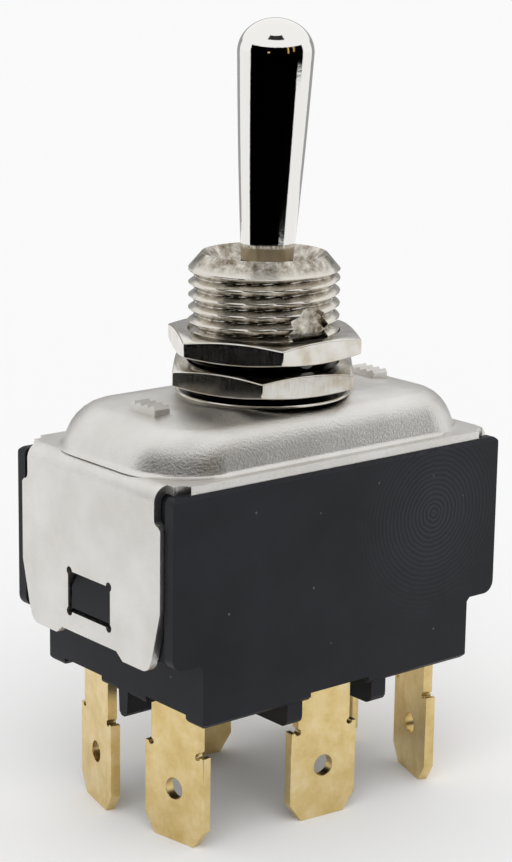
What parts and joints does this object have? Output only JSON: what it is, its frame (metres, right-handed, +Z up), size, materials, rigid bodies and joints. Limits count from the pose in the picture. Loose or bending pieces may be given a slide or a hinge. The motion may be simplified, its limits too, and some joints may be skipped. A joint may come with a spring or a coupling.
{
  "type": "panel toggle switch",
  "caption": "Heavy bat-lever toggle switch with a threaded bushing, flat nuts, a pressed metal cover, a black moulded base and blade terminals.",
  "frame": {"origin": "on the bushing axis at the upper nut's top face, where the free thread begins", "axes": "+Z up along the bushing towards the lever; X along the long sides, the way the lever swings; Y across, with the keyway facing -Y"},
  "size_m": [0.0338, 0.02, 0.0624],
  "materials": {
    "base_housing": "moulded phenolic, near black, with a faint satin skin",
    "cover": "nickel-plated pressed steel, matt and finely grained",
    "bushing": "nickel-plated, bright",
    "lower_nut": "nickel-plated, satin",
    "upper_nut": "nickel-plated, satin",
    "lever": "nickel-plated, polished bright",
    "pivot_pin": "plain steel",
    "insulator_sheet": "vulcanised fibre",
    "actuator": "moulded phenolic, brown",
    "actuator_pin": "plain steel",
    "plunger_front": "turned brass",
    "plunger_rear": "turned brass",
    "plunger_spring_front": "plain steel",
    "plunger_spring_rear": "plain steel",
    "rocker_front": "copper alloy strip",
    "rocker_rear": "copper alloy strip",
    "rocker_contacts_front": "silver",
    "rocker_contacts_rear": "silver",
    "terminal_front_left": "blanked brass strip, bright yellow",
    "terminal_front_middle": "blanked brass strip, bright yellow",
    "terminal_front_right": "blanked brass strip, bright yellow",
    "terminal_rear_left": "blanked brass strip, bright yellow",
    "terminal_rear_middle": "blanked brass strip, bright yellow",
    "terminal_rear_right": "blanked brass strip, bright yellow",
    "fixed_contact_front_left": "silver",
    "fixed_contact_front_right": "silver",
    "fixed_contact_rear_left": "silver",
    "fixed_contact_rear_right": "silver"
  },
  "bodies": {
    "housing": {"base_housing": "base_housing", "cover": "cover", "bushing": "bushing", "lower_nut": "lower_nut", "upper_nut": "upper_nut", "pivot_pin": "pivot_pin", "insulator_sheet": "insulator_sheet", "terminal_front_left": "terminal_front_left", "terminal_front_middle": "terminal_front_middle", "terminal_front_right": "terminal_front_right", "terminal_rear_left": "terminal_rear_left", "terminal_rear_middle": "terminal_rear_middle", "terminal_rear_right": "terminal_rear_right", "fixed_contact_front_left": "fixed_contact_front_left", "fixed_contact_front_right": "fixed_contact_front_right", "fixed_contact_rear_left": "fixed_contact_rear_left", "fixed_contact_rear_right": "fixed_contact_rear_right"},
    "lever_unit": {"lever": "lever", "actuator": "actuator", "actuator_pin": "actuator_pin"},
    "front_plunger": {"plunger_front": "plunger_front", "plunger_spring_front": "plunger_spring_front"},
    "rear_plunger": {"plunger_rear": "plunger_rear", "plunger_spring_rear": "plunger_spring_rear"},
    "front_rocker": {"rocker_front": "rocker_front", "rocker_contacts_front": "rocker_contacts_front"},
    "rear_rocker": {"rocker_rear": "rocker_rear", "rocker_contacts_rear": "rocker_contacts_rear"}
  },
  "joints": [
    {"name": "lever_swing", "type": "hinge", "parent": "housing", "child": "lever_unit", "pos_m": [0, 0, -0.00152], "axis": [0, 1, 0], "range_deg": [-14, 10]},
    {"name": "front_plunger_slide", "type": "slide", "parent": "lever_unit", "child": "front_plunger", "axis": [0.0349, 0, 0.9994], "range_m": [0, 0.0006], "stiffness_N_per_m": 400, "springref_m": -0.002, "deforming": ["plunger_spring_front"]},
    {"name": "rear_plunger_slide", "type": "slide", "parent": "lever_unit", "child": "rear_plunger", "axis": [0.0349, 0, 0.9994], "range_m": [0, 0.0006], "stiffness_N_per_m": 400, "springref_m": -0.002, "deforming": ["plunger_spring_rear"]},
    {"name": "front_rocker_tilt", "type": "hinge", "parent": "housing", "child": "front_rocker", "pos_m": [0, 0, -0.01922], "axis": [0, 1, 0], "range_deg": [-6.7, 9.4]},
    {"name": "rear_rocker_tilt", "type": "hinge", "parent": "housing", "child": "rear_rocker", "pos_m": [0, 0, -0.01922], "axis": [0, 1, 0], "range_deg": [-6.7, 9.4]}
  ],
  "couplings": [
    {"joint": "front_rocker_tilt", "follows": "lever_swing", "ratio": -0.66667},
    {"joint": "rear_rocker_tilt", "follows": "lever_swing", "ratio": -0.66667}
  ]
}
